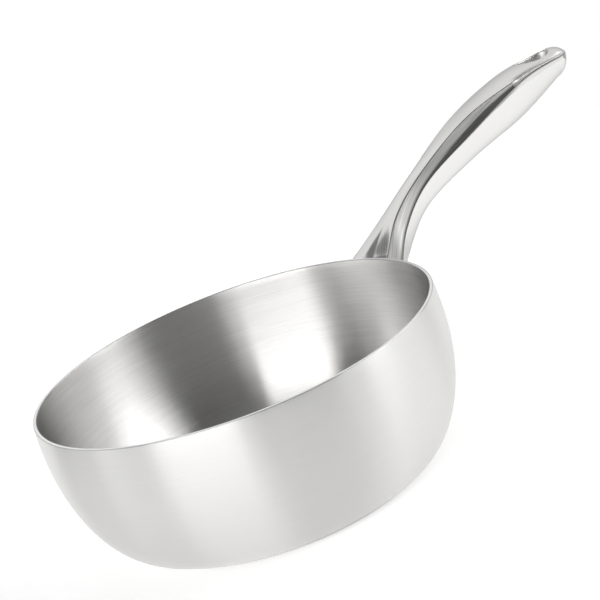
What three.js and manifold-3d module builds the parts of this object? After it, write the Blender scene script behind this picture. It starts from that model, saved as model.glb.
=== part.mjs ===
// Deep saute pan: a clad bowl with a hollow, welded handle.
// Millimetres, +Z up. The origin is the centre of the flat foot and the handle points along +X.

import * as THREE from 'three';
import { mergeVertices } from 'three/addons/utils/BufferGeometryUtils.js';
import Module from 'manifold-3d';

// Bowl sizes
const RIM_DIAMETER = 200;
const PAN_HEIGHT = 75;
const FOOT_DIAMETER = 153;
const FOOT_STEP = 1.2;
const FOOT_EDGE = 0.5;
const WALL_BULGE = 4.8;
const WALL_DROP = 49;
const KNUCKLE_REACH = 7.8;

// Thickness of the three bonded layers, from the inside out
const LINING = 0.4;
const CORE = 1.2;
const SKIN = 0.4;
const BOND_LINE = 0.02;

// Handle: distance along the handle from the station before, the first one lying on the wall
const NECK_SPAN = 22;
const WAIST_SPAN = 28;
const PALM_SPAN = 42;
const HEEL_SPAN = 46;
const END_SPAN = 37;
const TIP_ROUND = 11;

// Height of the top line above the rim at each station
const ROOT_RISE = -0.5;
const NECK_RISE = 13.5;
const WAIST_RISE = 26.5;
const PALM_RISE = 39.25;
const HEEL_RISE = 47.5;
const END_RISE = 47;

// Shoulder: height of the flank from the seam to the edge of the top face; it runs out at the end
const ROOT_SHOULDER = 5.5;
const NECK_SHOULDER = 6.5;
const WAIST_SHOULDER = 6;
const PALM_SHOULDER = 8;
const HEEL_SHOULDER = 1.75;

// Dome: height of the middle of the top face above the shoulders
const ROOT_DOME = 1.75;
const NECK_DOME = 1.25;
const WAIST_DOME = 1.5;
const PALM_DOME = 0.5;
const HEEL_DOME = 3.5;
const END_DOME = 4.75;

// Belly: depth of the lower shell below the seam
const ROOT_BELLY = 18.75;
const NECK_BELLY = 16.75;
const WAIST_BELLY = 13;
const PALM_BELLY = 15.75;
const HEEL_BELLY = 21.5;
const END_BELLY = 12.75;

// Width across the shoulders
const ROOT_TOP_WIDTH = 31;
const NECK_TOP_WIDTH = 14.5;
const WAIST_TOP_WIDTH = 8.5;
const PALM_TOP_WIDTH = 13;
const HEEL_TOP_WIDTH = 23;

// Width across the seam
const ROOT_WIDTH = 46;
const NECK_WIDTH = 20.5;
const WAIST_WIDTH = 11.5;
const PALM_WIDTH = 16.5;
const HEEL_WIDTH = 24;
const END_WIDTH = 20.5;

// Bulge of the flank between seam and shoulder, as a share of its length
const FLANK_BULGE = 0.012;

// Sheet and joints of the handle
const HANDLE_SHEET = 1.2;
const SEAM_GAP = 0.3;
const WELD_HEIGHT = 0.7;
const WELD_DIAMETER = 5;
const WELD_CLEARANCE = 0.15;
const WELD_PITCH_ACROSS = 20;
const WELD_PITCH_UP = 10;
const PLATE_SHEET = 1.5;
const FIT_CLEARANCE = 0.3;

// Hanging eye, measured inside the sleeve at the top line; each side comes in by the taper per mm of depth
const EYE_LENGTH = 24;
const EYE_WIDTH = 13;
const EYE_TAPER_ENDS = 0.2;
const EYE_TAPER_SIDES = 0.15;
const EYE_SHEET = 1;
const EYE_TO_TIP = 14;

// Fineness of the facets
const BOWL_SIDES = 48;
const WALL_STEPS = 8;
const LOFT_STEPS = 15;
const TIP_STEPS = 4;
const FLANK_STEPS = 2;
const DOME_STEPS = 6;
const PLATE_RINGS = 4;
const EYE_SIDES = 28;
const WELD_SIDES = 16;

const arcSteps = 2 * FLANK_STEPS + DOME_STEPS;
const rimRadius = RIM_DIAMETER / 2;
const footRadius = FOOT_DIAMETER / 2;
const wasm = await Module();
wasm.setup();

// Outside of the wall, from the foot up to the rim: flat off the foot, then steep and slightly bulged.
const wall = new THREE.CubicBezierCurve(
  new THREE.Vector2(footRadius, FOOT_STEP),
  new THREE.Vector2(footRadius + KNUCKLE_REACH, FOOT_STEP),
  new THREE.Vector2(rimRadius + WALL_BULGE, PAN_HEIGHT - WALL_DROP),
  new THREE.Vector2(rimRadius, PAN_HEIGHT),
);

// Parameter where a curve's growing coordinate reaches a value, by halving.
function parameterAt(curve, coordinate, value) {
  let low = 0;
  let high = 1;
  for (let step = 0; step < 40; step += 1) {
    const middle = (low + high) / 2;
    if (curve.getPoint(middle)[coordinate] < value) {
      low = middle;
    } else {
      high = middle;
    }
  }
  return (low + high) / 2;
}

function wallRadius(height) {
  return wall.getPoint(parameterAt(wall, 'y', height)).x;
}

// The wall's points set in by a depth of metal, the last one brought up to the ground rim.
function wallLine(depth) {
  const points = [];
  for (let step = 0; step < WALL_STEPS; step += 1) {
    const at = step / WALL_STEPS;
    const tangent = wall.getTangent(at);
    const inward = new THREE.Vector2(-tangent.y, tangent.x);
    points.push(wall.getPoint(at).addScaledVector(inward, depth));
  }
  points.push(new THREE.Vector2(rimRadius - depth, PAN_HEIGHT));
  return points;
}

// Quarter round of the ground rim, from the side of the wall to the flat top.
function rimRound(radius, centreRadius, side) {
  const points = [];
  for (const angle of [0, Math.PI / 4, Math.PI / 2]) {
    const out = centreRadius + side * radius * Math.cos(angle);
    points.push(new THREE.Vector2(out, PAN_HEIGHT - radius + radius * Math.sin(angle)));
  }
  return points;
}

// Solid of revolution of a profile that runs out along the bottom, up the outside and back inside.
function revolve(profile) {
  const geometry = new THREE.LatheGeometry(profile, BOWL_SIDES);
  geometry.rotateX(Math.PI / 2);
  return geometry;
}

// Lines from the axis to the rim at a depth of metal: the outer ones step down into the coined foot.
const onAxis = (height) => new THREE.Vector2(0, height);

function footedLine(depth) {
  const inFoot = footRadius - depth;
  const step = [new THREE.Vector2(inFoot, depth), new THREE.Vector2(inFoot, FOOT_STEP + depth)];
  return [onAxis(depth), ...step, ...wallLine(depth)];
}

function plainLine(depth) {
  return [onAxis(FOOT_STEP + depth), ...wallLine(depth)];
}

const coreOutside = SKIN + BOND_LINE;
const coreInside = coreOutside + CORE;
const liningOutside = coreInside + BOND_LINE;
const liningInside = liningOutside + LINING;

const skinProfile = [
  onAxis(0),
  new THREE.Vector2(footRadius - FOOT_EDGE, 0),
  new THREE.Vector2(footRadius, FOOT_EDGE),
  ...wallLine(0).slice(0, -1),
  ...rimRound(SKIN, rimRadius - SKIN, 1).slice(0, -1),
  ...footedLine(SKIN).reverse(),
];
const coreProfile = [...footedLine(coreOutside), ...plainLine(coreInside).reverse()];
const liningProfile = [
  ...plainLine(liningOutside),
  ...rimRound(LINING, rimRadius - liningOutside, -1).reverse().slice(1),
  ...plainLine(liningInside).slice(0, -1).reverse(),
];

const skinGeometry = revolve(skinProfile);
const coreGeometry = revolve(coreProfile);
const liningGeometry = revolve(liningProfile);

// One spline per measure of the handle, all read at the same parameter.
const spans = [0, NECK_SPAN, WAIST_SPAN, PALM_SPAN, HEEL_SPAN, END_SPAN];
const reaches = spans.map((span, index) => spans.slice(0, index + 1).reduce((sum, part) => sum + part, 0));
const endReach = reaches[reaches.length - 1];
const tipReach = endReach + TIP_ROUND;

function along(...values) {
  return new THREE.SplineCurve(values.map((value, index) => new THREE.Vector2(reaches[index], value)));
}

const riseLine = along(ROOT_RISE, NECK_RISE, WAIST_RISE, PALM_RISE, HEEL_RISE, END_RISE);
const shoulderLine = along(ROOT_SHOULDER, NECK_SHOULDER, WAIST_SHOULDER, PALM_SHOULDER, HEEL_SHOULDER, 0);
const domeLine = along(ROOT_DOME, NECK_DOME, WAIST_DOME, PALM_DOME, HEEL_DOME, END_DOME);
const bellyLine = along(ROOT_BELLY, NECK_BELLY, WAIST_BELLY, PALM_BELLY, HEEL_BELLY, END_BELLY);
const topLine = along(
  ROOT_TOP_WIDTH,
  NECK_TOP_WIDTH,
  WAIST_TOP_WIDTH,
  PALM_TOP_WIDTH,
  HEEL_TOP_WIDTH,
  END_WIDTH,
);
const widthLine = along(ROOT_WIDTH, NECK_WIDTH, WAIST_WIDTH, PALM_WIDTH, HEEL_WIDTH, END_WIDTH);

// Measures of one cross-section, set in by the sheet's thickness for the inside of a shell.
function station(at, inset) {
  const rise = riseLine.getPoint(at);
  const shoulder = shoulderLine.getPoint(at).y;
  const dome = domeLine.getPoint(at).y;
  return {
    reach: rise.x,
    seam: PAN_HEIGHT + rise.y - shoulder - dome,
    shoulder: Math.max(0, shoulder - inset),
    dome: dome - Math.max(0, inset - shoulder),
    belly: bellyLine.getPoint(at).y - inset,
    top: topLine.getPoint(at).y / 2 - inset,
    half: widthLine.getPoint(at).y / 2 - inset,
  };
}

// A section drawn smaller about the middle of its seam.
function shrunk(section, share) {
  return {
    reach: section.reach,
    seam: section.seam,
    shoulder: section.shoulder * share,
    dome: section.dome * share,
    belly: section.belly * share,
    top: section.top * share,
    half: section.half * share,
  };
}

// The sections from the wall to the end of the splines, then those that round off the tip.
function stations(inset) {
  const list = [];
  for (let step = 0; step <= LOFT_STEPS; step += 1) {
    list.push(station(step / LOFT_STEPS, inset));
  }
  const last = list[list.length - 1];
  for (let step = 1; step <= TIP_STEPS; step += 1) {
    const angle = (step / TIP_STEPS) * (Math.PI / 2);
    const share = step === TIP_STEPS ? 0 : Math.cos(angle);
    list.push({ ...shrunk(last, share), reach: endReach + (TIP_ROUND - inset) * Math.sin(angle) });
  }
  return list;
}

// A section stands upright, and near the root it bends to lie on the wall all over.
function place(reach, across, height) {
  const seat = wallRadius(Math.min(height, PAN_HEIGHT)) + WELD_HEIGHT;
  const bend = Math.sqrt(seat * seat - across * across) - rimRadius;
  const fade = Math.max(0, 1 - reach / (NECK_SPAN + WAIST_SPAN)) ** 3;
  return new THREE.Vector3(rimRadius + reach + bend * fade, across, height);
}

// Upper half of a section from seam to seam: up a bulged flank to the shoulder, over the domed top and down.
function crownOutline({ shoulder, dome, top, half }) {
  const flank = [];
  for (let step = 0; step < FLANK_STEPS; step += 1) {
    const share = step / FLANK_STEPS;
    const bulge = 4 * FLANK_BULGE * share * (1 - share);
    const across = half + (top - half) * share + bulge * shoulder;
    flank.push(new THREE.Vector2(across, shoulder * share + bulge * (half - top)));
  }
  const points = [...flank];
  for (let step = 0; step <= DOME_STEPS; step += 1) {
    const across = 1 - (2 * step) / DOME_STEPS;
    points.push(new THREE.Vector2(top * across, shoulder + dome * (1 - across * across)));
  }
  const farFlank = flank.reverse().map((point) => new THREE.Vector2(-point.x, point.y));
  return [...points, ...farFlank];
}

// Lower half of a section from seam to seam: a half oval.
function bellyOutline({ belly, half }) {
  const points = [];
  for (let step = 0; step <= arcSteps; step += 1) {
    const angle = (step / arcSteps) * Math.PI;
    points.push(new THREE.Vector2(-half * Math.cos(angle), -belly * Math.sin(angle)));
  }
  return points;
}

// Half of a cross-section in its place on the handle: side 1 is the crown, side -1 the belly.
function halfSection(section, side, lift) {
  const outline = side > 0 ? crownOutline(section) : bellyOutline(section);
  return outline.map((point) => place(section.reach, point.x, section.seam + point.y + side * lift));
}

// Closed body from quads and triangles given by points: equal points are joined.
function body(faces) {
  const positions = [];
  for (const [a, b, c, d] of faces) {
    for (const point of d ? [a, b, c, a, c, d] : [a, b, c]) {
      positions.push(point.x, point.y, point.z);
    }
  }
  const geometry = new THREE.BufferGeometry();
  geometry.setAttribute('position', new THREE.Float32BufferAttribute(positions, 3));
  return geometry;
}

// Quads of the sheet between two rows of equal length, seen with the first row's start at the left.
function strip(lower, upper) {
  return lower.slice(1).map((point, index) => [lower[index], point, upper[index + 1], upper[index]]);
}

// Half shell: lofted outside and inside, joined along both seam edges and across the root.
function halfShell(side) {
  const lift = SEAM_GAP / 2;
  const outer = stations(0).map((section) => halfSection(section, side, lift));
  const inner = stations(HANDLE_SHEET).map((section) => halfSection(section, side, lift));
  const edge = (rows, index) => rows.map((row) => row[index]);
  const faces = [];
  for (let row = 1; row < outer.length; row += 1) {
    faces.push(...strip(outer[row - 1], outer[row]));
    faces.push(...strip(inner[row], inner[row - 1]));
  }
  faces.push(...strip(inner[0], outer[0]));
  faces.push(...strip(edge(outer, 0), edge(inner, 0)));
  faces.push(...strip(edge(inner, arcSteps), edge(outer, arcSteps)));
  return body(faces);
}

// Whole outside of the handle as one solid, used to trim the eye flush.
function handleEnvelope() {
  const faces = [];
  for (const side of [1, -1]) {
    const rows = stations(0).map((section) => halfSection(section, side, 0));
    for (let row = 1; row < rows.length; row += 1) {
      faces.push(...strip(rows[row - 1], rows[row]));
    }
    const root = rows[0];
    for (let index = 1; index < root.length; index += 1) {
      faces.push([root[index], root[index - 1], root[0].clone().lerp(root[arcSteps], 0.5)]);
    }
  }
  return body(faces);
}

function toManifold(geometry) {
  const bare = geometry.clone();
  bare.deleteAttribute('normal');
  bare.deleteAttribute('uv');
  const merged = mergeVertices(bare, 1e-4);
  const index = merged.index.array;
  const triangles = [];
  for (let at = 0; at < index.length; at += 3) {
    const [a, b, c] = [index[at], index[at + 1], index[at + 2]];
    if (a !== b && b !== c && c !== a) {
      triangles.push(a, b, c);
    }
  }
  const mesh = new wasm.Mesh({
    numProp: 3,
    vertProperties: new Float32Array(merged.attributes.position.array),
    triVerts: new Uint32Array(triangles),
  });
  return new wasm.Manifold(mesh);
}

function toGeometry(manifold) {
  const mesh = manifold.getMesh();
  const geometry = new THREE.BufferGeometry();
  geometry.setAttribute('position', new THREE.Float32BufferAttribute(mesh.vertProperties, 3));
  geometry.setIndex(Array.from(mesh.triVerts));
  return geometry;
}

// Upright oval post through the handle at the eye, narrowing downwards and grown by a margin all round.
const eyeCentre = rimRadius + tipReach - EYE_TO_TIP - EYE_LENGTH / 2;
const eyeTop = PAN_HEIGHT + HEEL_RISE;

function eyePost(margin) {
  const tall = 2 * (HEEL_BELLY + HEEL_SHOULDER + HEEL_DOME + END_DOME);
  const post = new THREE.CylinderGeometry(1, 1, tall, 2 * EYE_SIDES);
  post.rotateX(Math.PI / 2);
  const places = post.attributes.position;
  for (let index = 0; index < places.count; index += 1) {
    const above = places.getZ(index);
    places.setX(index, places.getX(index) * (EYE_LENGTH / 2 + EYE_TAPER_ENDS * above + margin));
    places.setY(index, places.getY(index) * (EYE_WIDTH / 2 + EYE_TAPER_SIDES * above + margin));
  }
  post.translate(eyeCentre, 0, eyeTop);
  return toManifold(post);
}

const eyeCut = eyePost(EYE_SHEET + FIT_CLEARANCE);
const upperGeometry = toGeometry(toManifold(halfShell(1)).subtract(eyeCut));
const lowerGeometry = toGeometry(toManifold(halfShell(-1)).subtract(eyeCut));
const eyeTube = eyePost(EYE_SHEET).subtract(eyePost(0));
const eyeGeometry = toGeometry(eyeTube.intersect(toManifold(handleEnvelope())));

// Plate that closes the root: it lies along the wall and fills the flare inside the shells.
function plateFace(at) {
  const section = station(at, HANDLE_SHEET + FIT_CLEARANCE);
  const rings = [];
  for (let ring = 0; ring <= PLATE_RINGS; ring += 1) {
    const inner = shrunk(section, ring / PLATE_RINGS);
    rings.push([...halfSection(inner, 1, 0), ...halfSection(inner, -1, 0).slice(1)]);
  }
  return rings;
}

function rootPlate() {
  const back = plateFace(0);
  const front = plateFace(parameterAt(riseLine, 'x', PLATE_SHEET));
  const faces = strip(back[PLATE_RINGS], front[PLATE_RINGS]);
  for (let ring = 1; ring <= PLATE_RINGS; ring += 1) {
    faces.push(...strip(back[ring - 1], back[ring]));
    faces.push(...strip(front[ring], front[ring - 1]));
  }
  return body(faces);
}

const steel = (color, roughness) => new THREE.MeshStandardMaterial({ color, roughness, metalness: 1 });
const pan = new THREE.Group();

function addPiece(name, geometry, material) {
  const mesh = new THREE.Mesh(geometry, material);
  mesh.name = name;
  pan.add(mesh);
  return mesh;
}

addPiece('inner_lining', liningGeometry, steel(0xc4c2be, 0.32));
addPiece('aluminium_core', coreGeometry, steel(0xd6d8da, 0.45));
addPiece('outer_skin', skinGeometry, steel(0xd2d1ce, 0.35));
addPiece('handle_upper_shell', upperGeometry, steel(0xe0dfdc, 0.08));
addPiece('handle_lower_shell', lowerGeometry, steel(0xdddcd9, 0.08));
addPiece('hanging_eye', eyeGeometry, steel(0xcfcecb, 0.12));
addPiece('root_plate', rootPlate(), steel(0xbdbcb8, 0.5));

// Weld nuggets between the root plate and the wall, two across and two up.
const plateMiddle = PAN_HEIGHT + ROOT_RISE - (ROOT_SHOULDER + ROOT_DOME + ROOT_BELLY) / 2;
const weldLength = WELD_HEIGHT - 2 * WELD_CLEARANCE;
let weldCount = 0;
for (const up of [1, -1]) {
  for (const across of [1, -1]) {
    const height = plateMiddle + (up * WELD_PITCH_UP) / 2;
    const tangent = wall.getTangent(parameterAt(wall, 'y', height));
    const turn = Math.asin((across * WELD_PITCH_ACROSS) / 2 / wallRadius(height));
    const nugget = new THREE.CylinderGeometry(WELD_DIAMETER / 2, WELD_DIAMETER / 2, weldLength, WELD_SIDES);
    nugget.rotateZ(-Math.PI / 2);
    nugget.translate(WELD_HEIGHT / 2, 0, 0);
    nugget.rotateY(Math.atan2(tangent.x, tangent.y));
    nugget.translate(wallRadius(height), 0, height);
    weldCount += 1;
    const mesh = addPiece(`weld_spot_${weldCount}`, nugget, steel(0xa9a8a4, 0.55));
    mesh.rotation.z = turn;
  }
}

export default pan;
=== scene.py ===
# %% [markdown]
# # A deep saute pan in brushed and polished steel
# The pan has two halves that are made in quite different ways. The bowl is a disc of three bonded
# metals that a press draws deep and a lathe trims and brushes. The handle is a hollow shell of thin
# sheet that is welded, ground and polished like a mirror.
# The imported model is loaded first. It is the frame that every piece below has to fit.

# %% Load the frame
import math

import bpy
import numpy as np
from mathutils import Matrix, Vector


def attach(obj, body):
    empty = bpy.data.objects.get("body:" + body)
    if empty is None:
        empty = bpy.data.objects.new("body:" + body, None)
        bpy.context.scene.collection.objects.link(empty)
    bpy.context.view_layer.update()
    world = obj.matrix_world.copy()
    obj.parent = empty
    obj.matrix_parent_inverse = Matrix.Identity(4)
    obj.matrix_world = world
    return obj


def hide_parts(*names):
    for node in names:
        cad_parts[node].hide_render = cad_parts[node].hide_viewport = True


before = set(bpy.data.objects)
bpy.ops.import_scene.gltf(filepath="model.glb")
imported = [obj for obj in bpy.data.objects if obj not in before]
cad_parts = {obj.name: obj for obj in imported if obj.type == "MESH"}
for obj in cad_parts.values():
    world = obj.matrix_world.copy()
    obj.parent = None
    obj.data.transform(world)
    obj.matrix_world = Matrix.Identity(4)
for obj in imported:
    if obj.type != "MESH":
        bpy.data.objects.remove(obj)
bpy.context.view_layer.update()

print("frame nodes:", len(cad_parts))

# %% [markdown]
# ## The camera
# The photograph looks down at the pan at about 17 degrees, from the side away from the handle, and
# the camera is rolled, so the whole pan leans to the left. A long lens keeps the far and the near rim
# almost the same size. The camera turns about the upright axis, tips down and then rolls, which is the
# order in which a tripod head is set.

# %% Set up the camera
VIEW_AZIMUTH = math.radians(-38.713)
VIEW_ELEVATION = math.radians(16.569)
VIEW_ROLL = math.radians(-20.119)
VIEW_DISTANCE = 0.8655
VIEW_AIM = Vector((0.04885, 0.0, 0.07595))
LENS_MM = 106.095
SENSOR_MM = 36

turn = Matrix.Rotation(VIEW_AZIMUTH, 4, "Z")
tip_down = Matrix.Rotation(math.pi / 2 - VIEW_ELEVATION, 4, "X")
roll = Matrix.Rotation(VIEW_ROLL, 4, "Z")
camera_turn = turn @ tip_down @ roll
camera_place = VIEW_AIM + camera_turn.to_3x3() @ Vector((0, 0, VIEW_DISTANCE))

bpy.ops.object.select_all(action="DESELECT")
bpy.ops.object.camera_add(location=camera_place, rotation=camera_turn.to_euler())
camera = bpy.context.object
camera.name = "pan_camera"
camera.data.lens = LENS_MM
camera.data.sensor_width = SENSOR_MM
bpy.context.scene.camera = camera
bpy.context.scene.view_settings.view_transform = "Standard"
print("camera stands at", [round(v, 3) for v in camera_place])

# %% [markdown]
# ## The line of the wall
# Everything round on the bowl follows one line, the outside of the wall: flat off the foot, round
# the knuckle, then steep and slightly bulged up to the rim. A Bezier curve with two handles holds that
# shape. The layers of metal lie at set depths behind it, so each is the same line moved in.

# %% Draw the wall line
# The bowl is measured in metres.
RIM_RADIUS = 0.100
PAN_HEIGHT = 0.075
FOOT_RADIUS = 0.0765
FOOT_STEP = 0.0012
FOOT_EDGE = 0.0005
KNUCKLE_HANDLE = (0.0843, FOOT_STEP)
BULGE_HANDLE = (0.1048, 0.026)
WALL_LINE = np.array([(FOOT_RADIUS, FOOT_STEP), KNUCKLE_HANDLE, BULGE_HANDLE, (RIM_RADIUS, PAN_HEIGHT)])
WALL_STEPS = 36
LINE_SAMPLES = 2001


def wall_point(at):
    """Radius and height of the line at a share from 0, the foot, to 1, the rim, or at a column of shares."""
    a, b, c, d = WALL_LINE
    back = 1 - at
    return back ** 3 * a + 3 * back ** 2 * at * b + 3 * back * at ** 2 * c + at ** 3 * d


def wall_inward(at, nudge=1e-4):
    """Direction into the metal, square to the line."""
    ahead = wall_point(at + nudge) - wall_point(at - nudge)
    ahead /= np.hypot(*ahead)
    return np.array([-ahead[1], ahead[0]])


def wall_layer(depth):
    """The wall line at a depth of metal, ending level with the ground rim."""
    shares = [step / WALL_STEPS for step in range(WALL_STEPS)]
    points = [tuple(wall_point(at) + depth * wall_inward(at)) for at in shares]
    return points + [(RIM_RADIUS - depth, PAN_HEIGHT)]


def wall_radius(height):
    """Radius of the outside of the wall at a height, read off the line."""
    line = wall_point(np.linspace(0, 1, LINE_SAMPLES)[:, None])
    return np.interp(np.minimum(height, PAN_HEIGHT), line[:, 1], line[:, 0])


print("wall radius half way up in mm:", round(float(wall_radius(PAN_HEIGHT / 2)) * 1000, 2))

# %% [markdown]
# ## The clad bowl
# The bowl is pressed from a disc of three bonded layers: a steel lining, an aluminium core that
# spreads the heat, and a steel skin. They show apart only at the ground rim. Each layer is a solid of
# its own, so its outline is drawn once as a chain of vertices, extruded point by point, and spun round
# the axis, just as a spinner's template sweeps out a shape.
# A cylinder with loop cuts could be pushed into the same form, but the chain follows the wall line
# exactly.

# %% Chain and spin helpers
SPIN_STEPS = 240
RIM_STEPS = 5
WELD_DISTANCE = 2e-6
CRISP_ANGLE = math.radians(40)


def pick(piece):
    """Makes a piece the only selected one and the active one."""
    bpy.ops.object.select_all(action="DESELECT")
    piece.select_set(True)
    bpy.context.view_layer.objects.active = piece


def edit(piece, select="SELECT"):
    """Opens a piece for editing, with all or none of it selected."""
    pick(piece)
    bpy.ops.object.mode_set(mode="EDIT")
    bpy.ops.mesh.select_all(action=select)


def draw_chain(name, outline):
    """A chain of edges in the upright plane, extruded point by point from a plane merged to one vertex."""
    bpy.ops.object.select_all(action="DESELECT")
    bpy.ops.mesh.primitive_plane_add(size=0.001, location=(0, 0, 0))
    chain = bpy.context.object
    chain.name = name
    edit(chain)
    bpy.ops.mesh.merge(type="CENTER")
    places = [Vector((radius, 0, height)) for radius, height in outline]
    bpy.ops.transform.translate(value=places[0])
    for here, there in zip(places, places[1:]):
        bpy.ops.mesh.extrude_region_move(TRANSFORM_OT_translate={"value": there - here})
    return chain


def spin_chain(chain):
    """Sweeps the chain once round the axis and closes the seam and the poles."""
    bpy.ops.mesh.select_all(action="SELECT")
    bpy.ops.mesh.spin(steps=SPIN_STEPS, angle=2 * math.pi, center=(0, 0, 0), axis=(0, 0, 1))
    bpy.ops.mesh.select_all(action="SELECT")
    bpy.ops.mesh.remove_doubles(threshold=WELD_DISTANCE)
    bpy.ops.mesh.normals_make_consistent(inside=False)
    bpy.ops.object.mode_set(mode="OBJECT")
    bpy.ops.object.shade_smooth_by_angle(angle=CRISP_ANGLE)
    print(chain.name, "has", len(chain.data.polygons), "faces")


def rim_round(radius, centre, side):
    """Quarter round of the ground rim, from the side of the wall to the flat top."""
    turns = [step * math.pi / (2 * RIM_STEPS) for step in range(RIM_STEPS + 1)]
    level = PAN_HEIGHT - radius
    return [(centre + side * radius * math.cos(a), level + radius * math.sin(a)) for a in turns]


# %% Spin the three layers
SHEET = 0.0004
CORE = 0.0012
BOND = 0.00002
core_out = SHEET + BOND
core_in = core_out + CORE
lining_out = core_in + BOND
lining_in = lining_out + SHEET


def footed(depth):
    """A layer's line from the axis that steps down into the coined foot."""
    inside = FOOT_RADIUS - depth
    return [(0, depth), (inside, depth), (inside, FOOT_STEP + depth)] + wall_layer(depth)


def flat_floored(depth):
    """A layer's line from the axis along a flat floor and up the wall."""
    return [(0, FOOT_STEP + depth)] + wall_layer(depth)


skin_outline = (
    [(0, 0), (FOOT_RADIUS - FOOT_EDGE, 0), (FOOT_RADIUS, FOOT_EDGE)]
    + wall_layer(0)[:-1]
    + rim_round(SHEET, RIM_RADIUS - SHEET, 1)[:-1]
    + footed(SHEET)[::-1]
)
core_outline = footed(core_out) + flat_floored(core_in)[::-1]
lining_outline = (
    flat_floored(lining_out)
    + rim_round(SHEET, RIM_RADIUS - lining_out, -1)[::-1][1:]
    + flat_floored(lining_in)[:-1][::-1]
)

bowl = {}
for name, outline in (("skin", skin_outline), ("core", core_outline), ("lining", lining_outline)):
    bowl[name] = draw_chain("pan_" + name, outline)
    spin_chain(bowl[name])

# %% [markdown]
# ## The handle's shape
# The handle is a hollow shell whose cross-section changes all the way along: a wide, low flare that
# lies on the wall, a slim waist, then a palm swell with a flat top and steep flanks. The shoulder
# between the top and the flank sinks towards the end, until it is one crisp crease round the tip. Six
# stations hold the measures, and a spline runs through each of them. The polishing wheel softens every
# edge a little, most of all near the root, so there the shoulder melts into a round.

# %% Stations of the handle
# The handle is measured in millimetres from the rim's edge.
REACH = (0, 22, 50, 92, 138, 175)
RISE = (0, 13.75, 26.5, 39.25, 47.5, 47)
SHOULDER = (5.75, 7.25, 6, 8, 1.75, 0)
DOME = (1.75, 1.25, 1.5, 0.5, 3.5, 4.75)
BELLY = (19.25, 17, 13, 15.75, 21.5, 12.75)
TOP_WIDTH = (26.5, 11.5, 8.5, 13, 23, 20.5)
WIDTH = (45, 20.5, 11.5, 16.5, 24, 20.5)
EDGE_ROUND = (0.6, 0.45, 0.35, 0.3, 0.3, 0.3)
FLANK_BULGE = 0.012
TIP_ROUND = 11
SEAT_GAP = 0.1
MM = 0.001


def read_spline(values, at):
    """Smooth line through the values, evenly spaced in the parameter from 0 to 1."""
    v = np.asarray(values, float)
    spot = np.clip(at, 0, 1) * (len(v) - 1)
    low = np.minimum(np.floor(spot).astype(int), len(v) - 2)
    w = spot - low
    p0, p1 = v[np.maximum(low - 1, 0)], v[low]
    p2, p3 = v[np.minimum(low + 1, len(v) - 1)], v[np.minimum(low + 2, len(v) - 1)]
    s1, s2 = (p2 - p0) / 2, (p3 - p1) / 2
    return (2 * p1 - 2 * p2 + s1 + s2) * w ** 3 + (3 * p2 - 3 * p1 - 2 * s1 - s2) * w ** 2 + s1 * w + p1


def station(at):
    """Reach and seam height, then shoulder, dome, belly and both half widths, from 0 at the wall.

    From 1 to 2 the tip rounds off.
    """
    along = np.clip(at, 0, 1)
    tip = np.clip(at - 1, 0, 1) * math.pi / 2
    shoulder = read_spline(SHOULDER, along)
    dome = read_spline(DOME, along)
    seam = PAN_HEIGHT / MM + read_spline(RISE, along) - shoulder - dome
    reach = read_spline(REACH, along) + TIP_ROUND * np.sin(tip)
    halves = (read_spline(TOP_WIDTH, along) / 2, read_spline(WIDTH, along) / 2)
    sizes = (shoulder, dome, read_spline(BELLY, along)) + halves
    return (reach, seam) + tuple(size * np.cos(tip) for size in sizes)


print("handle reaches", REACH[-1] + TIP_ROUND, "mm past the rim")

# %% One section, with its edges rounded by the wheel
FLANK_DENSE = 90
ROOF_DENSE = 240
BELLY_DENSE = 360
FLANK_COLUMNS = 24
ROOF_COLUMNS = 30
BELLY_COLUMNS = 54
COLUMNS = 2 * FLANK_COLUMNS + ROOF_COLUMNS + BELLY_COLUMNS
CROWDING = 0.62
CLOSED_TIP = 0.02
FULL_ROUND_HALF = 6


def section_loop(shoulder, dome, belly, top, half):
    """Closed outline: up one bulged flank, over the domed top, down the other flank and round the belly."""
    share = np.linspace(0, 1, FLANK_DENSE, endpoint=False)
    bulge = 4 * FLANK_BULGE * share * (1 - share)
    out = half + (top - half) * share + bulge * shoulder
    rise = shoulder * share + bulge * (half - top)
    flank = np.stack([out, rise], 1)
    across = np.linspace(1, -1, ROOF_DENSE + 1)
    roof = np.stack([top * across, shoulder + dome * (1 - across ** 2)], 1)
    angle = np.linspace(math.pi, 2 * math.pi, BELLY_DENSE, endpoint=False)
    under = np.stack([half * np.cos(angle), belly * np.sin(angle)], 1)
    return np.vstack([flank, roof, (flank * (-1, 1))[:0:-1], under])


def soften(loop, rounding):
    """Rolls a small round over the corners of a closed loop; returns it with the lengths along it."""
    step = np.hypot(*(np.roll(loop, -1, 0) - loop).T)
    length = step.sum()
    even = np.linspace(0, length, len(loop), endpoint=False)
    start = np.concatenate([[0], np.cumsum(step)[:-1]])
    wrapped = np.vstack([loop, loop[:1]])
    spots = np.append(start, length)
    flat = np.stack([np.interp(even, spots, wrapped[:, k]) for k in (0, 1)], 1)
    wave = np.fft.rfftfreq(len(loop), length / len(loop)) * 2 * math.pi
    damping = np.exp(-(rounding * wave[:, None]) ** 2 / 2)
    rolled = np.fft.irfft(np.fft.rfft(flat, axis=0) * damping, len(loop), axis=0)
    return np.vstack([rolled, rolled[:1]]), np.append(even, length), spots


def eased(low, high, count):
    """Steps from low up to high that crowd towards both ends, where the edges are."""
    u = np.arange(count) / count
    return low + (high - low) * (u - CROWDING * np.sin(2 * math.pi * u) / (2 * math.pi))


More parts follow.
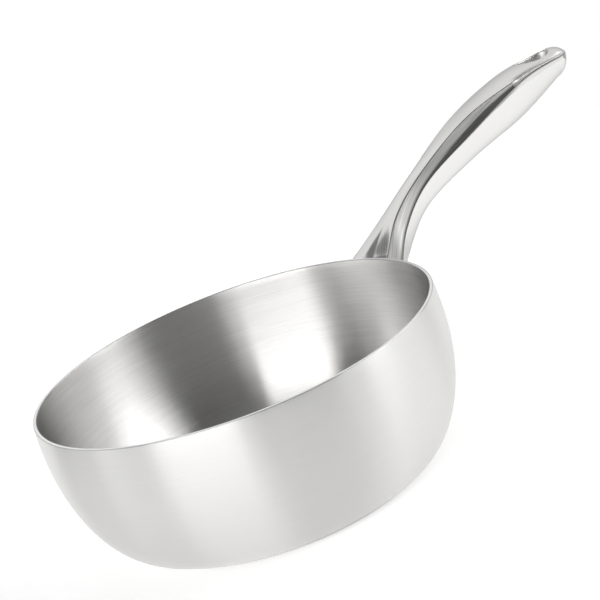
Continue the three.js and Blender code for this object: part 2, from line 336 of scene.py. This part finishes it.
def section_points(at):
    """Reach, seam height, the ring of points of one section and how far round each one lies from the seam."""
    reach, seam, *sizes = station(at)
    if sizes[-1] < CLOSED_TIP:
        return reach, seam, np.zeros((COLUMNS, 2)), np.zeros(COLUMNS)
    loop = section_loop(*sizes)
    rounding = read_spline(EDGE_ROUND, min(at, 1)) * min(1, sizes[-1] / FULL_ROUND_HALF)
    rolled, even, spots = soften(loop, rounding)
    near, far = spots[FLANK_DENSE], spots[FLANK_DENSE + ROOF_DENSE]
    seam_end = spots[2 * FLANK_DENSE + ROOF_DENSE]
    picks = np.concatenate([
        eased(0, near, FLANK_COLUMNS),
        eased(near, far, ROOF_COLUMNS),
        eased(far, seam_end, FLANK_COLUMNS),
        eased(seam_end, spots[-1], BELLY_COLUMNS),
    ])
    ring = np.stack([np.interp(picks, even, rolled[:, k]) for k in (0, 1)], 1)
    on_belly = np.arange(COLUMNS) >= COLUMNS - BELLY_COLUMNS
    return reach, seam, ring, np.where(on_belly, picks - spots[-1], picks)


reach, seam, ring, girth = section_points(0.9)
print("section near the eye:", len(ring), "points,", round(float(np.ptp(ring[:, 0])), 1), "mm wide")

# %% [markdown]
# ## The handle's shell
# A handle like this is welded from two pressed halves along the flanks, and the weld is ground away, so
# the finished shell is one skin. It starts here as a plain open tube: a cylinder with no ends, cut into
# rings, each of which is then pushed into its section, as a tube is swaged over a former. The tip
# closes to a point, Solidify gives the sheet its thickness inwards, and a cutter pierces the eye.

# %% Blank tube
def blank_tube(name, columns, rows):
    """Open cylinder with rings of columns points; returns the piece and each vertex's row and column."""
    bpy.ops.object.select_all(action="DESELECT")
    bpy.ops.mesh.primitive_cylinder_add(vertices=columns, radius=1, depth=1, end_fill_type="NOTHING")
    tube = bpy.context.object
    tube.name = name
    edit(tube, "DESELECT")
    bpy.ops.mesh.select_mode(type="EDGE")
    bpy.ops.object.mode_set(mode="OBJECT")
    for edge in tube.data.edges:
        low, high = (tube.data.vertices[i].co for i in edge.vertices)
        edge.select = abs(low.z - high.z) > 0.5
    bpy.ops.object.mode_set(mode="EDIT")
    bpy.ops.mesh.subdivide_edgering(number_cuts=rows - 2, interpolation="LINEAR")
    bpy.ops.mesh.select_mode(type="VERT")
    bpy.ops.object.mode_set(mode="OBJECT")
    places = np.array([vertex.co for vertex in tube.data.vertices])
    row = np.rint((places[:, 2] + 0.5) * (rows - 1)).astype(int)
    column = np.rint(np.arctan2(places[:, 1], places[:, 0]) / (2 * math.pi) * columns).astype(int) % columns
    return tube, row, column


def push_into(tube, places):
    """Moves every vertex to its place."""
    tube.data.vertices.foreach_set("co", np.asarray(places, float).ravel())
    tube.data.update()


# %% Swage the handle
LOFT_ROWS = 150
TIP_ROWS = 26
FLARE = 50
at_row = np.concatenate([np.linspace(0, 1, LOFT_ROWS), 1 + np.linspace(0, 1, TIP_ROWS + 1)[1:]])
handle, row, column = blank_tube("handle_shell", COLUMNS, len(at_row))
rings = []
girths = []
for at in at_row:
    reach, seam, ring, girth = section_points(at)
    across, height = ring[:, 0] * MM, (seam + ring[:, 1]) * MM
    seat = wall_radius(height) + SEAT_GAP * MM
    bend = np.sqrt(seat ** 2 - across ** 2) - RIM_RADIUS
    fade = max(0.0, 1 - reach / FLARE) ** 3
    rings.append(np.stack([RIM_RADIUS + reach * MM + bend * fade, across, height], 1))
    girths.append(girth)
rings = np.array(rings)
girths = np.array(girths)
push_into(handle, rings[row, column])
print("handle tip at", round(float(rings[:, :, 0].max()) * 1000, 2), "mm")

# %% [markdown]
# ## Where the wheel stops
# The crown and the belly look buffed like a mirror, and the two flanks are taken as only linished, a
# rougher satin finish with faint streaks. Their grey, a darker edge below and a fine dark line where they
# meet the crown are painted shading and painted reflections in the base colour, and so are a lighter
# patch near the root, a dark line on the seam near the tip and a grey strip along the crown's edge at the
# tip. These marks are stored with the vertices: how far along and round the section a point lies, how
# satin the metal is there and how much painted shading or painted light it carries. The flank's band
# ends short of the tip.

# %% Mark the flanks
# Where the painted marks lie, in millimetres along the handle and round the section, and how dark or light
# they are painted.
BAND_END = (129, 135)
SEAM_END = (177, 181)
LINE_HALF = 0.45
CREST_SOFT = 0.2
CREST_OFFSET = 0.1
SEAM_SOFT = 0.25
SEAM_MARGIN = 0.01
FLANK_TOP = 1.001
LEAST_CREST = 1e-6
TIP_EDGE = (1.2, 3.0)
LOW_EDGE = 0.10
LOW_EDGE_GAIN = 0.38
LOW_EDGE_REACH = (40, 105)
LOW_EDGE_SOFT = 0.12
LOW_EDGE_PAINTED_DARK = 0.25
CREST_PAINTED_DARKENING = 0.6
SEAM_PAINTED_DARKENING = 0.65
ROOT_PAINTED_LIGHT = 0.7
ROOT_REACH = (2, 24)


def ramp(value, low, high):
    """0 at low and 1 at high, which may also lie the other way round."""
    return np.clip((value - low) / (high - low), 0, 1)


def mark(piece, name, values):
    """Stores a number with each vertex, under a name that a material can read."""
    attribute = piece.data.attributes.new(name, "FLOAT", "POINT")
    attribute.data.foreach_set("value", np.asarray(values, float).ravel())


along = (rings[:, 0, 0] - RIM_RADIUS)[:, None] / MM + 0 * girths
crest = girths[:, [FLANK_COLUMNS]]
far_seam = crest + girths[:, [FLANK_COLUMNS + ROOF_COLUMNS]]
belly_end = girths[:, [COLUMNS - BELLY_COLUMNS]]
below = np.maximum(girths, belly_end - girths)
up = np.where(girths < 0, below, np.minimum(girths, far_seam - girths))
share = up / np.maximum(crest, LEAST_CREST)
# The band is where the flanks are satin and painted grey, with a painted dark reflection along their lower
# edge.
band = ramp(along, BAND_END[1], BAND_END[0])
# Painted dark line, a painted reflection, where each flank meets the crown.
painted_crest_line = ramp(np.abs(up - crest - CREST_OFFSET), LINE_HALF, LINE_HALF - CREST_SOFT) * band
# Painted dark line, a painted reflection, on the seam near the tip.
painted_seam_line = ramp(np.abs(up), LINE_HALF, LINE_HALF - SEAM_SOFT) * ramp(along, SEAM_END[1], SEAM_END[0])
on_flank = (share > -SEAM_MARGIN) * (share < FLANK_TOP) * band
# Satin strip along the crown's edge at the tip, painted grey where the mirror shows a bright reflection.
tip_edge_painted_grey = (up > -SEAM_MARGIN) * ramp(up, crest + TIP_EDGE[1], crest + TIP_EDGE[0]) * (1 - band)
# The satin share; where it is high, the base colour is also darkened to a painted grey.
satin_and_painted_grey = np.maximum.reduce([on_flank, painted_crest_line, tip_edge_painted_grey, painted_seam_line * (1 - band)])
# Painted dark reflection along the lower edge of each flank; its top rises along the handle.
painted_dark_edge_top = LOW_EDGE + LOW_EDGE_GAIN * ramp(along, *LOW_EDGE_REACH)
band_painted_shading = LOW_EDGE_PAINTED_DARK + (1 - LOW_EDGE_PAINTED_DARK) * ramp(share, painted_dark_edge_top, painted_dark_edge_top + LOW_EDGE_SOFT)
# Painted light: the flanks grow lighter towards the root, where their reflection is darker.
painted_root_light = 1 + ROOT_PAINTED_LIGHT * ramp(along, ROOT_REACH[1], ROOT_REACH[0])
band_painted_shading *= (1 - CREST_PAINTED_DARKENING * painted_crest_line) * painted_root_light
# The painted shading and painted light of each place, as a factor on the base colour.
painted_shading = band * band_painted_shading + (1 - band) * (1 - SEAM_PAINTED_DARKENING * painted_seam_line)
for name, values in (("along", along), ("girth", up), ("satin_and_painted_grey", satin_and_painted_grey), ("painted_shading", painted_shading)):
    mark(handle, name, values[row, column])
print("satin points:", int((satin_and_painted_grey[row, column] > 0.5).sum()), "of", len(row))

# %% Give the sheet its thickness
SHELL_SHEET = 0.0005
TIP_WELD = 1e-6


def add_thickness(piece, sheet):
    """Thickens a skin into a sheet, behind the side that its faces look to."""
    pick(piece)
    wall = piece.modifiers.new("sheet", "SOLIDIFY")
    wall.thickness = sheet
    wall.offset = -1
    bpy.ops.object.modifier_apply(modifier=wall.name)


edit(handle)
bpy.ops.mesh.remove_doubles(threshold=TIP_WELD)
bpy.ops.mesh.normals_make_consistent(inside=False)
bpy.ops.object.mode_set(mode="OBJECT")
add_thickness(handle, SHELL_SHEET)
print("handle shell has", len(handle.data.polygons), "faces")

# %% [markdown]
# ## The hanging eye
# The oval hole near the tip is lined by a sleeve that narrows downwards like a funnel, and its mouths
# roll over into the faces of the handle, so there is no sharp edge for the hand. The oval at each level
# is grown where the lip rolls out, and the top and the bottom follow the crown and the belly. The same
# funnel cuts the hole in the shell, so the lip meets the face a tenth of a millimetre below it.

# %% Eye outline
EYE_CENTRE = 261.5
EYE_HALF_LENGTH = 13.0
EYE_HALF_WIDTH = 6.5
EYE_TOP = 122.5
EYE_TAPER = (0.2, 0.15)
LIP_ROUND = 1.0
LOW_LIP_ROUND = 0.4
LIP_SINK = 0.12
EYE_SIDES = 96
LIP_STEPS = 8
BORE_STEPS = 12
SETTLE_ROUNDS = 6


def eye_oval(angle, height, margin):
    """Oval of the funnel at a height, grown by a margin."""
    length = EYE_HALF_LENGTH - EYE_TAPER[0] * (EYE_TOP - height) + margin
    width = EYE_HALF_WIDTH - EYE_TAPER[1] * (EYE_TOP - height) + margin
    return EYE_CENTRE + length * np.cos(angle), width * np.sin(angle)


def face_height(x, y, side):
    """Height of the crown (side 1) or the belly (side -1) over a place on the handle."""
    shares = np.linspace(0, 1, LINE_SAMPLES)
    at = np.interp(x - RIM_RADIUS / MM, read_spline(REACH, shares), shares)
    seam, shoulder, dome, belly, top, half = station(at)[1:]
    if side > 0:
        return seam + shoulder + dome * (1 - (y / top) ** 2)
    return seam - belly * np.sqrt(1 - (y / half) ** 2)


def lip_ring(side, share):
    """Ring of the rolled lip: share 0 lies in the face, 1 in the bore."""
    around = np.arange(EYE_SIDES) / EYE_SIDES * 2 * math.pi
    turn = share * math.pi / 2
    lip = LIP_ROUND if side > 0 else LOW_LIP_ROUND
    z = np.full(EYE_SIDES, EYE_TOP)
    for _ in range(SETTLE_ROUNDS):
        x, y = eye_oval(around, z, lip * (1 - math.sin(turn)))
        z = face_height(x, y, side) - side * (LIP_SINK + lip * (1 - math.cos(turn)))
    return np.stack([x, y, z], 1)


top_lip = [lip_ring(1, step / LIP_STEPS) for step in range(LIP_STEPS + 1)]
low_lip = [lip_ring(-1, step / LIP_STEPS) for step in range(LIP_STEPS + 1)]
bore = [top_lip[-1] + (low_lip[-1] - top_lip[-1]) * step / BORE_STEPS for step in range(1, BORE_STEPS)]
eye_rings = np.array(top_lip + bore + low_lip[::-1]) * MM
print("eye is", round(float(np.ptp(eye_rings[:, :, 2])) * 1000, 1), "mm from lip to lip")

# %% Pierce the shell and set the eye
EYE_SHEET = 0.0006
# The sleeve is mostly satin, and its base colour is painted grey: painted shading inside the hole.
EYE_SATIN_AND_PAINTED_GREY = 0.8
EYE_PAINTED_SHADING = 1.3
EYE_DEPTH = 21.5
PUNCH_ABOVE = 10.0
PUNCH_BELOW = 34.0
SLEEVE_ANGLE = math.radians(50)
bpy.ops.object.select_all(action="DESELECT")
bpy.ops.mesh.primitive_cylinder_add(vertices=EYE_SIDES, radius=1, depth=1)
punch = bpy.context.object
punch.name = "eye_punch"
corners = np.array([vertex.co for vertex in punch.data.vertices])
punch_height = EYE_TOP + np.where(corners[:, 2] > 0, PUNCH_ABOVE, -PUNCH_BELOW)
punch_lip = LIP_ROUND + (LIP_ROUND - LOW_LIP_ROUND) * (punch_height - EYE_TOP) / EYE_DEPTH
punch_x, punch_y = eye_oval(np.arctan2(corners[:, 1], corners[:, 0]), punch_height, punch_lip)
push_into(punch, np.stack([punch_x, punch_y, punch_height], 1) * MM)

pick(handle)
pierce = handle.modifiers.new("pierce", "BOOLEAN")
pierce.operation = "DIFFERENCE"
pierce.solver = "EXACT"
pierce.object = punch
bpy.ops.object.modifier_apply(modifier=pierce.name)
bpy.data.objects.remove(punch)
bpy.ops.object.shade_smooth_by_angle(angle=CRISP_ANGLE)

eye, eye_row, eye_column = blank_tube("hanging_eye_sleeve", EYE_SIDES, len(eye_rings))
push_into(eye, eye_rings[::-1][eye_row, eye_column])
# The sleeve carries no streaks and the same painted grey all over.
for name, value in (("along", 0), ("girth", 0), ("satin_and_painted_grey", EYE_SATIN_AND_PAINTED_GREY), ("painted_shading", EYE_PAINTED_SHADING)):
    mark(eye, name, np.full(len(eye_row), value))
edit(eye)
bpy.ops.mesh.normals_make_consistent(inside=False)
bpy.ops.object.mode_set(mode="OBJECT")
add_thickness(eye, EYE_SHEET)
bpy.ops.object.shade_smooth_by_angle(angle=SLEEVE_ANGLE)
print("pierced handle has", len(handle.data.polygons), "faces, eye", len(eye.data.polygons))

# %% [markdown]
# ## Brushed steel
# A brushed finish is thousands of fine scratches in one direction. On this bowl they run round the
# axis, inside and out, because the bowl turns on a lathe while the belt or pad bears on it. Scratches
# spread a reflection across their own direction, so light gathers into bands that run down the wall.
# An anisotropic shader does that, with the tangent taken round the axis. The lines themselves come from
# noise that is long round the axis and short across it. It is read from the direction to the axis, not
# from an angle, so there is no seam.

# %% Node helpers
NOISE_RANGE = (0.3, 0.7)
NOISE_ROUGHNESS = 0.6
BUMP_DEPTH = 0.0002


def new_finish(name):
    """A metal, with its node tree and its shader."""
    finish = bpy.data.materials.new(name)
    finish.use_nodes = True
    shader = finish.node_tree.nodes["Principled BSDF"]
    shader.inputs["Metallic"].default_value = 1.0
    return finish, finish.node_tree, shader


def add(tree, kind, settings=None, **sockets):
    """A node with its settings, and its sockets set to a value or linked to another node's output."""
    node = tree.nodes.new(kind)
    for key, value in (settings or {}).items():
        setattr(node, key, value)
    for key, value in sockets.items():
        socket = node.inputs[int(key[1:])] if key[0] == "i" and key[1:].isdigit() else node.inputs[key]
        if isinstance(value, bpy.types.NodeSocket):
            tree.links.new(value, socket)
        else:
            socket.default_value = value
    return node


def math_node(tree, operation, first, second=0.0):
    """Output of one sum."""
    return add(tree, "ShaderNodeMath", {"operation": operation}, i0=first, i1=second).outputs[0]


def spread(tree, value, low, high, to_low, to_high):
    """A value from low to high turned into one from to_low to to_high."""
    sockets = {"i1": low, "i2": high, "i3": to_low, "i4": to_high}
    return add(tree, "ShaderNodeMapRange", None, i0=value, **sockets).outputs[0]


def noise_at(tree, spot, detail):
    """Noise read at a spot that is already scaled."""
    sockets = {"Scale": 1.0, "Detail": detail, "Roughness": NOISE_ROUGHNESS}
    return add(tree, "ShaderNodeTexNoise", None, Vector=spot, **sockets).outputs[0]


def scaled(tree, vector, factor):
    return add(tree, "ShaderNodeVectorMath", {"operation": "SCALE"}, i0=vector, Scale=factor).outputs[0]


def turned_lines(tree, round_scale, across_scale, detail):
    """Noise in lines round the axis: long along the turn, fine across it."""
    place = add(tree, "ShaderNodeTexCoord").outputs["Object"]
    parts = add(tree, "ShaderNodeSeparateXYZ", None, i0=place)
    flat = add(tree, "ShaderNodeCombineXYZ", None, i0=parts.outputs[0], i1=parts.outputs[1]).outputs[0]
    radius = add(tree, "ShaderNodeVectorMath", {"operation": "LENGTH"}, i0=flat).outputs["Value"]
    spoke = add(tree, "ShaderNodeVectorMath", {"operation": "NORMALIZE"}, i0=flat).outputs[0]
    spoke = scaled(tree, spoke, round_scale)
    along = math_node(tree, "ADD", radius, parts.outputs[2])
    along = math_node(tree, "MULTIPLY", along, across_scale)
    across = add(tree, "ShaderNodeCombineXYZ", None, i2=along).outputs[0]
    spot = add(tree, "ShaderNodeVectorMath", {"operation": "ADD"}, i0=spoke, i1=across).outputs[0]
    return noise_at(tree, spot, detail)


# %% Brushed lining and skin
# Lines: scale round the axis, scale across it, and detail.
FINE_LINES = (3.0, 2600, 2.0)
BROAD_LINES = (2.0, 420, 2.0)
FINE_SHARE = 0.7
BROAD_SHARE = 0.3
ROUGH_PLAY = 0.02
QUARTER_TURN = 0.25


def brushed_steel(name, tone, rough, grain_depth, scratch, edge, painted_height_shading, painted_rim_darkening):
    """Steel brushed round the axis.

    The tone changes by grain_depth from line to line. Painted shading makes it darker at the floor and
    lighter at the rim by the height share, and a painted dark line scales it down on the rounding of the
    rim by the rim share. Scratch is the depth of the lines and edge the glancing tint.
    """
    finish, tree, shader = new_finish(name)
    fine = turned_lines(tree, *FINE_LINES)
    broad = turned_lines(tree, *BROAD_LINES)
    shader.inputs["Anisotropic"].default_value = 1.0
    shader.inputs["Anisotropic Rotation"].default_value = QUARTER_TURN
    fine_part = math_node(tree, "MULTIPLY", fine, FINE_SHARE)
    broad_part = math_node(tree, "MULTIPLY", broad, BROAD_SHARE)
    grain = math_node(tree, "ADD", fine_part, broad_part)
    roughness = spread(tree, grain, *NOISE_RANGE, rough - ROUGH_PLAY, rough + ROUGH_PLAY)
    tree.links.new(roughness, shader.inputs["Roughness"])
    tones = add(tree, "ShaderNodeValToRGB", None, i0=grain)
    dark, light = tones.color_ramp.elements
    dark.position, light.position = NOISE_RANGE
    dark.color = [v * (1 - grain_depth) for v in tone] + [1]
    light.color = [min(1, v * (1 + grain_depth)) for v in tone] + [1]
    place = add(tree, "ShaderNodeTexCoord").outputs["Object"]
    level = add(tree, "ShaderNodeSeparateXYZ", None, i0=place).outputs[2]
    # Painted shading: the base colour darker at the floor and lighter at the rim.
    painted_light_factor = spread(tree, level, 0.0, PAN_HEIGHT, 1 - painted_height_shading, 1 + painted_height_shading)
    # Painted dark line on the top of the rim's rounding.
    painted_rim_line = spread(tree, level, PAN_HEIGHT - SHEET, PAN_HEIGHT - SHEET / 2, 1.0, painted_rim_darkening)
    painted_light_factor = math_node(tree, "MULTIPLY", painted_light_factor, painted_rim_line)
    tree.links.new(scaled(tree, tones.outputs[0], painted_light_factor), shader.inputs["Base Color"])
    shader.inputs["Specular Tint"].default_value = (edge, edge, edge, 1)
    tangent = add(tree, "ShaderNodeTangent", {"direction_type": "RADIAL", "axis": "Z"}).outputs[0]
    tree.links.new(tangent, shader.inputs["Tangent"])
    bump = add(tree, "ShaderNodeBump", None, Strength=scratch, Distance=BUMP_DEPTH, Height=fine)
    tree.links.new(bump.outputs[0], shader.inputs["Normal"])
    return finish


LINING_TONE = (0.77, 0.765, 0.755)
SKIN_TONE = (0.733, 0.728, 0.718)
# Both finishes carry painted shading up the wall and a painted dark line on the rim, the lining more of both.
lining_finish = brushed_steel(
    "brushed_lining", LINING_TONE, rough=0.31, grain_depth=0.08, scratch=0.4, edge=0.45, painted_height_shading=0.2, painted_rim_darkening=0.45
)
skin_finish = brushed_steel(
    "brushed_skin", SKIN_TONE, rough=0.35, grain_depth=0.02, scratch=0.10, edge=1.0, painted_height_shading=0.05, painted_rim_darkening=0.8
)
print("brushed finishes:", lining_finish.name, skin_finish.name)

# %% [markdown]
# ## Polished steel, aluminium and plain steel
# The crown and the belly of the handle are buffed to a mirror, with only faint lengthwise streaks left
# by the wheel. The flanks and the eye are satin, and their base colour is darkened to a painted grey, with
# painted dark lines and painted light, in place of the reflections there: one material reads the marks that
# were stored with the vertices and mixes the two finishes, so that no seam shows where the wheel stops. The
# ground edge of the aluminium core shows as the middle of the bright rim. The hidden root plate and the
# weld spots keep a plain, slightly heat-tinted mill finish.

# %% Polished handle
POLISH_TONE = (0.785, 0.78, 0.77)
SATIN_PAINTED_GREY = 0.5
SATIN_ROUGH = 0.5
BUFFED_ROUGH = (0.05, 0.11)
STREAK_PLAY = (0.78, 1.22)
STREAKS_ALONG = 0.03
STREAKS_ROUND = 1.1
STREAK_DETAIL = 1.0
STREAK_BUMP = 0.02
POLISH_EDGE = 0.6


def read_mark(tree, name):
    return add(tree, "ShaderNodeAttribute", {"attribute_name": name}).outputs["Fac"]


def blend(tree, share, first, second):
    """The first number at share 0 and the second at share 1."""
    return add(tree, "ShaderNodeMix", {"data_type": "FLOAT"}, i0=share, i2=first, i3=second).outputs[0]


def polished_steel(name, tone, satin_painted_grey):
    """A mirror with faint streaks along the handle, made satin with painted light and shading where marked.
    """
    finish, tree, shader = new_finish(name)
    satin_and_painted_grey, painted_shading = read_mark(tree, "satin_and_painted_grey"), read_mark(tree, "painted_shading")
    along = math_node(tree, "MULTIPLY", read_mark(tree, "along"), STREAKS_ALONG)
    girth = math_node(tree, "MULTIPLY", read_mark(tree, "girth"), STREAKS_ROUND)
    spot = add(tree, "ShaderNodeCombineXYZ", None, i0=along, i1=girth).outputs[0]
    lines = noise_at(tree, spot, STREAK_DETAIL)
    buffed = spread(tree, lines, *NOISE_RANGE, *BUFFED_ROUGH)
    tree.links.new(blend(tree, satin_and_painted_grey, buffed, SATIN_ROUGH), shader.inputs["Roughness"])
    # Painted shading and light: the streaks are scaled by the painted mark, and satin places take a painted
    # grey.
    streaks_and_painted_shading = math_node(tree, "MULTIPLY", spread(tree, lines, *NOISE_RANGE, *STREAK_PLAY), painted_shading)
    painted_grey_tone = blend(tree, satin_and_painted_grey, 1.0, math_node(tree, "MULTIPLY", streaks_and_painted_shading, satin_painted_grey))
    tree.links.new(scaled(tree, tone, painted_grey_tone), shader.inputs["Base Color"])
    shader.inputs["Specular Tint"].default_value = (POLISH_EDGE, POLISH_EDGE, POLISH_EDGE, 1)
    bump = add(tree, "ShaderNodeBump", None, Strength=STREAK_BUMP, Distance=BUMP_DEPTH, Height=lines)
    tree.links.new(bump.outputs[0], shader.inputs["Normal"])
    return finish


handle_finish = polished_steel("polished_handle", POLISH_TONE, SATIN_PAINTED_GREY)
print("handle finish:", handle_finish.name)

# %% Ground aluminium and plain steel
CORE_TONE = (0.86, 0.865, 0.87)
PLAIN_TONE = (0.52, 0.50, 0.47)
SPECK_DETAIL = 4.0
SPECK_ROUGH = (0.8, 1.2)
SPECK_TONE = (0.9, 1.05)


def ground_metal(name, tone, rough, scale):
    """Metal with fine specks, scale to the metre."""
    finish, tree, shader = new_finish(name)
    place = add(tree, "ShaderNodeTexCoord").outputs["Object"]
    speck = add(tree, "ShaderNodeTexNoise", None, Vector=place, Scale=scale, Detail=SPECK_DETAIL).outputs[0]
    roughness = spread(tree, speck, *NOISE_RANGE, *(rough * play for play in SPECK_ROUGH))
    tree.links.new(roughness, shader.inputs["Roughness"])
    tones = add(tree, "ShaderNodeValToRGB", None, i0=speck)
    for end, play in zip(tones.color_ramp.elements, SPECK_TONE):
        end.color = [v * play for v in tone] + [1]
    tree.links.new(tones.outputs[0], shader.inputs["Base Color"])
    return finish


core_finish = ground_metal("aluminium_core", CORE_TONE, rough=0.22, scale=2500.0)
plain_finish = ground_metal("plain_steel", PLAIN_TONE, rough=0.45, scale=700.0)
print("finishes made:", len(bpy.data.materials))

# %% Put the pieces on the frame
def fit_piece(piece, finish, slot, *nodes):
    """Gives a piece its finish and its place in the frame."""
    piece.data.materials.clear()
    piece.data.materials.append(finish)
    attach(piece, "root")
    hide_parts(*nodes)


fit_piece(bowl["lining"], lining_finish, "brushed_lining", "inner_lining")
fit_piece(bowl["core"], core_finish, "aluminium_core", "aluminium_core")
fit_piece(bowl["skin"], skin_finish, "brushed_skin", "outer_skin")
fit_piece(handle, handle_finish, "polished_handle", "handle_upper_shell", "handle_lower_shell")
fit_piece(eye, handle_finish, "polished_handle", "hanging_eye")
for name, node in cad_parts.items():
    if name == "root_plate" or name.startswith("weld_spot"):
        node.data.materials.clear()
        node.data.materials.append(plain_finish)

# %% [markdown]
# ## Floor and studio
# The pan stands on a round white table in front of white. Steel shows nothing but its surroundings, and
# in an even white room it would look like nothing at all, so the studio is dark, with soft boxes to the
# left and right for the bright bands of the bowl, a pale wall behind for the crown of the handle, a dark
# gap beside the camera for the dark band of the lining, and a grey card beside the handle. Two small dark
# windows in the back wall draw the patches on the handle's root. The panels could be lamps, but in the
# world they stand endlessly far away, so what the steel mirrors depends only on how it is turned. The
# table is clear from below, so the foot can be looked at.

# %% White table
TABLE_RADIUS = 0.5
TABLE_MIDDLE = (0.08, 0, 0)
TABLE_SIDES = 96
TABLE_GLOW = 0.34
PAPER_WHITE = (0.9, 0.9, 0.9, 1)
PURE_WHITE = (1, 1, 1, 1)
bpy.ops.object.select_all(action="DESELECT")
bpy.ops.mesh.primitive_circle_add(
    vertices=TABLE_SIDES, radius=TABLE_RADIUS, fill_type="NGON", location=TABLE_MIDDLE
)
floor = bpy.context.object
floor.name = "studio_table"
floor_finish = bpy.data.materials.new("white_table")
floor_finish.use_nodes = True
tree = floor_finish.node_tree
tree.nodes.clear()
paper = add(tree, "ShaderNodeBsdfDiffuse", None, Color=PAPER_WHITE).outputs[0]
rays = add(tree, "ShaderNodeLightPath").outputs
seen = math_node(tree, "MAXIMUM", rays["Is Camera Ray"], rays["Is Glossy Ray"])
seen = math_node(tree, "MAXIMUM", seen, rays["Is Transmission Ray"])
glow_strength = math_node(tree, "MULTIPLY", seen, TABLE_GLOW)
glow = add(tree, "ShaderNodeEmission", None, Color=PURE_WHITE, Strength=glow_strength)
both = add(tree, "ShaderNodeAddShader", None, i0=paper, i1=glow.outputs[0]).outputs[0]
from_below = add(tree, "ShaderNodeNewGeometry").outputs["Backfacing"]
clear = add(tree, "ShaderNodeBsdfTransparent").outputs[0]
table = add(tree, "ShaderNodeMixShader", None, i0=from_below, i1=both, i2=clear).outputs[0]
add(tree, "ShaderNodeOutputMaterial", None, Surface=table)
floor.data.materials.append(floor_finish)
print("table", floor.name, "is", 2 * TABLE_RADIUS, "m across")

# %% Studio walls and panels
world = bpy.data.worlds.new("dark_studio")
bpy.context.scene.world = world
world.use_nodes = True
tree = world.node_tree
tree.nodes.clear()
look = add(tree, "ShaderNodeTexCoord").outputs["Generated"]
about_upright = {"rotation_type": "Z_AXIS"}
to_camera = math.pi / 2 - VIEW_AZIMUTH
look = add(tree, "ShaderNodeVectorRotate", about_upright, Vector=look, Angle=to_camera).outputs[0]
parts = add(tree, "ShaderNodeSeparateXYZ", None, i0=look)
azimuth = math_node(tree, "ARCTAN2", parts.outputs[1], parts.outputs[0])
height = math_node(tree, "ARCSINE", parts.outputs[2])


def step_down(value, edge, soft):
    """1 below an angle in degrees and 0 above it, with a soft edge."""
    ease = {"interpolation_type": "SMOOTHSTEP"}
    ends = {"i1": math.radians(edge - soft), "i2": math.radians(edge + soft), "i3": 1.0, "i4": 0.0}
    return add(tree, "ShaderNodeMapRange", ease, i0=value, **ends).outputs[0]


def hang_panel(level, bright, azimuths, heights):
    """The studio level with a panel hung in it; each pair of angles comes with the softness of its edges."""
    (left, right, soft_side), (low, high, soft_end) = azimuths, heights
    turn = math_node(tree, "SUBTRACT", azimuth, math.radians((left + right) / 2))
    turn = add(tree, "ShaderNodeMath", {"operation": "WRAP"}, i0=turn, i1=math.pi, i2=-math.pi).outputs[0]
    wide = step_down(math_node(tree, "ABSOLUTE", turn), (right - left) / 2, soft_side)
    tall = math_node(tree, "SUBTRACT", step_down(height, high, soft_end), step_down(height, low, soft_end))
    gap = math_node(tree, "SUBTRACT", bright, level)
    cover = math_node(tree, "MULTIPLY", wide, tall)
    return math_node(tree, "ADD", level, math_node(tree, "MULTIPLY", gap, cover))


ALL_ROUND = (-180, 180.1, 0.05)
RIGHT_BOX_HEIGHTS = (19.5, 40, 3)
# Name and brightness, then the turns and the heights in degrees, each with the softness of its edges.
# Turns count from the camera, to its right. A later panel covers the ones before it.
PANELS = (
    ("ceiling", 0.15, ALL_ROUND, (52, 75, 4)),
    ("back wall", 0.9, (122, 237, 12), (-30, 95, 6)),
    ("tall window", 0.2, (-138.5, -131, 0.7), (41, 68, 2)),
    ("low window", 0.2, (-144, -138, 1), (39.5, 48, 1)),
    ("far left wall", 1.0, (-118, -84, 7), (-3, 39, 5)),
    ("left soft box", 4.7, (-59, -9, 2), (9, 40, 7)),
    ("left low wall", 2.25, (-90, 18, 7), (1, 21, 3)),
    ("right soft box", 3.5, (55, 132, 4), RIGHT_BOX_HEIGHTS),
    ("right box's middle", 5.6, (73, 92, 4), RIGHT_BOX_HEIGHTS),
    ("dark camera side", 0.0, (1.5, 52, 3), (1, 44.5, 5)),
    ("front fill", 2.8, (2.4, 53, 5), (-30, -3.4, 2)),
    ("card beside the handle", 0.5, (64, 130, 4), (-30, 19.5, 1)),
    ("card's pale foot", 1.0, (80, 104, 3), (-30, -13, 1)),
    ("overhead", 0.85, ALL_ROUND, (75, 95, 2)),
)
studio = 0.0
for what, bright, azimuths, heights in PANELS:
    studio = hang_panel(studio, bright, azimuths, heights)
    print("hung the", what)
seen_white = add(tree, "ShaderNodeLightPath").outputs["Is Camera Ray"]
studio = math_node(tree, "MAXIMUM", studio, seen_white)
sky = add(tree, "ShaderNodeBackground", None, Color=PURE_WHITE, Strength=studio).outputs[0]
add(tree, "ShaderNodeOutputWorld", None, Surface=sky)
print("studio nodes:", len(tree.nodes))
